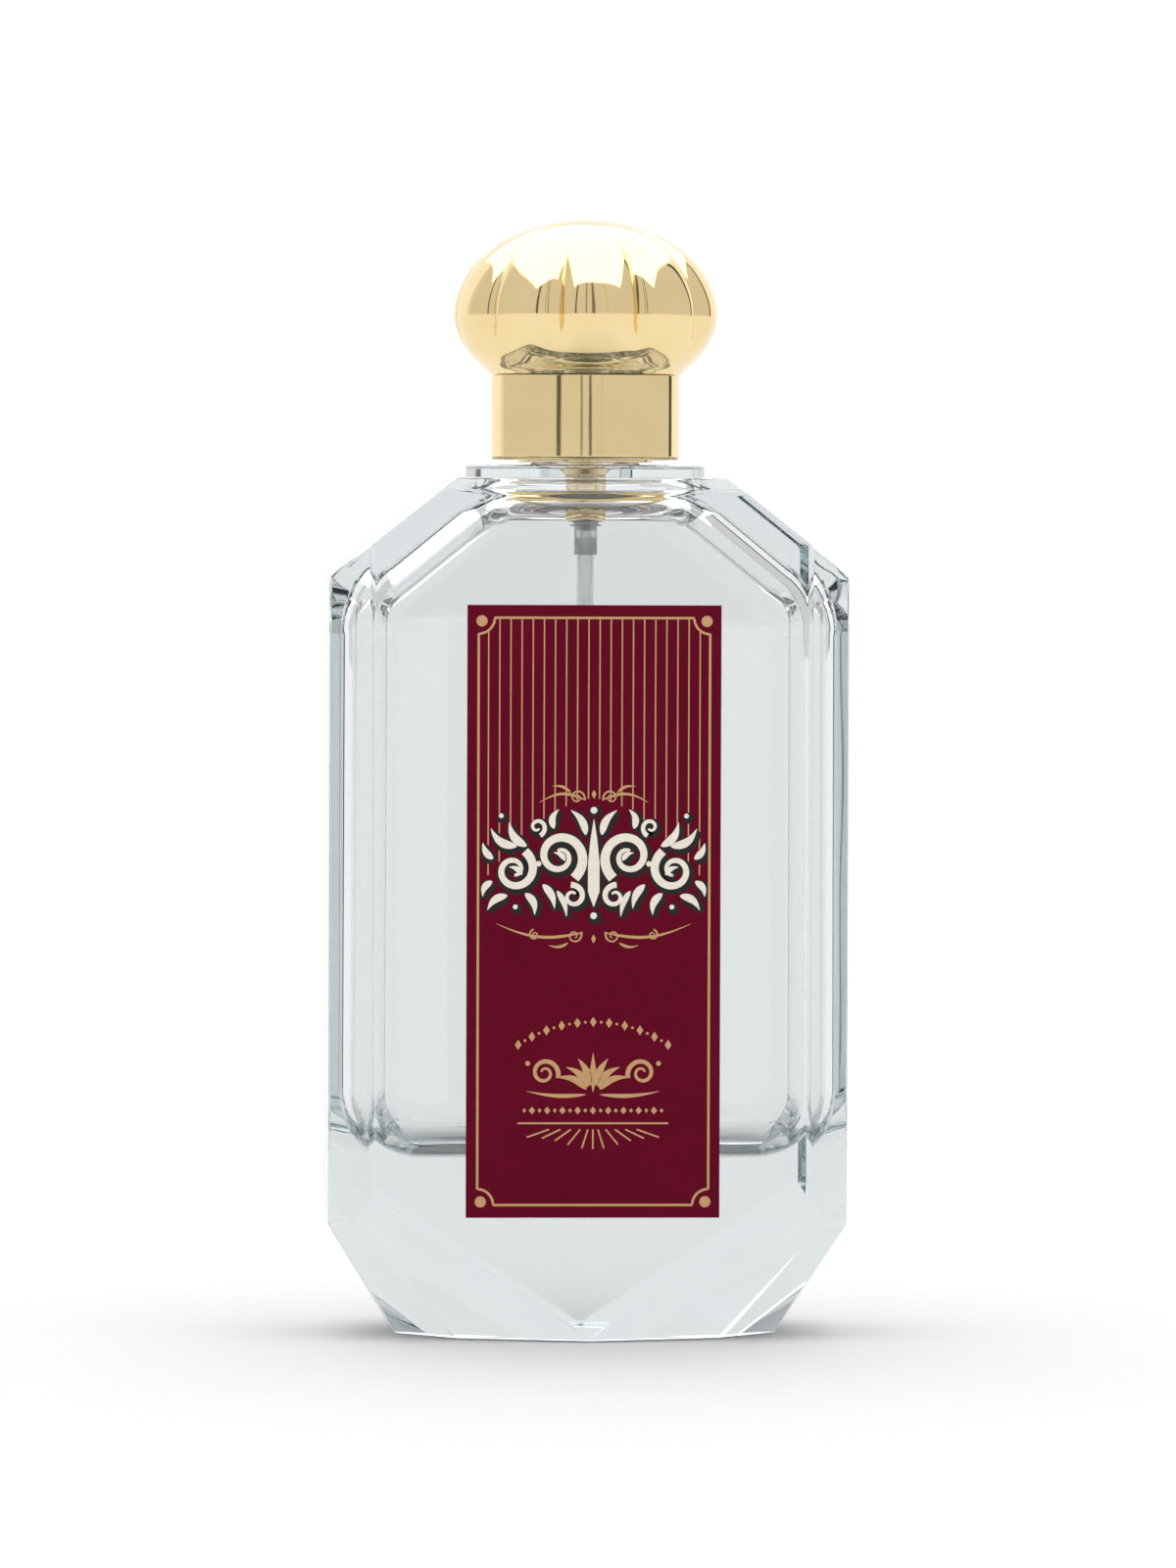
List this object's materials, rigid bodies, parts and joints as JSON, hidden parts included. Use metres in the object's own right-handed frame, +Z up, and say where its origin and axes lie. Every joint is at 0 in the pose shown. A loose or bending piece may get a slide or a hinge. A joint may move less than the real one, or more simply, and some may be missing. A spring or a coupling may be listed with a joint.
{
  "type": "perfume bottle",
  "caption": "Faceted clear glass perfume bottle with a front label, a crimped spray pump and a lobed gilt lift-off overcap.",
  "frame": {"origin": "centre of the glass base on the surface that the bottle stands on", "axes": "+Z up along the pump and overcap, -Y towards the label, +X to the right as the label is read"},
  "size_m": [0.0654, 0.0362, 0.1407],
  "materials": {
    "clear_glass": "clear, polished, faint blue-green in the thick base",
    "label_paper": "burgundy coated paper with tan-gold print",
    "gilt_aluminium": "mirror-bright pale gold anodised",
    "gilt_plating": "mirror-bright pale gold metallised",
    "pump_plastic": "translucent natural polypropylene",
    "tube_plastic": "clear extruded tube",
    "liner_plastic": "matt white",
    "seal_rubber": "matt grey",
    "steel": "bright"
  },
  "bodies": {
    "bottle": {"glass_bottle": "clear_glass", "front_label": "label_paper", "neck_gasket": "seal_rubber", "crimp_ferrule": "gilt_aluminium", "collar_sleeve": "gilt_aluminium", "pump_housing": "pump_plastic", "pump_turret": "pump_plastic", "stem_gasket": "seal_rubber", "dip_tube": "tube_plastic", "return_spring": "steel"},
    "valve_ball": {"valve_ball": "steel"},
    "stem": {"pump_stem": "pump_plastic", "piston": "pump_plastic"},
    "spray_head": {"actuator_body": "pump_plastic", "actuator_shell": "gilt_aluminium", "nozzle_insert": "pump_plastic"},
    "cap": {"cap_band": "gilt_aluminium", "cap_dome": "gilt_plating", "cap_weight": "steel", "cap_liner": "liner_plastic"}
  },
  "joints": [
    {"name": "press", "type": "slide", "parent": "bottle", "child": "stem", "axis": [0, 0, -1], "range_m": [0, 0.0045], "stiffness_N_per_m": 1500, "springref_m": -0.003, "deforming": ["return_spring"]},
    {"name": "spray_head_turn", "type": "hinge", "parent": "stem", "child": "spray_head", "pos_m": [0, 0, 0.1262], "axis": [0, 0, 1], "continuous": true},
    {"name": "ball_lift", "type": "slide", "parent": "bottle", "child": "valve_ball", "axis": [0, 0, 1], "range_m": [0, 0.0008]},
    {"name": "cap_lift", "type": "slide", "parent": "bottle", "child": "cap", "axis": [0, 0, 1], "range_m": [0, 0.045]}
  ]
}
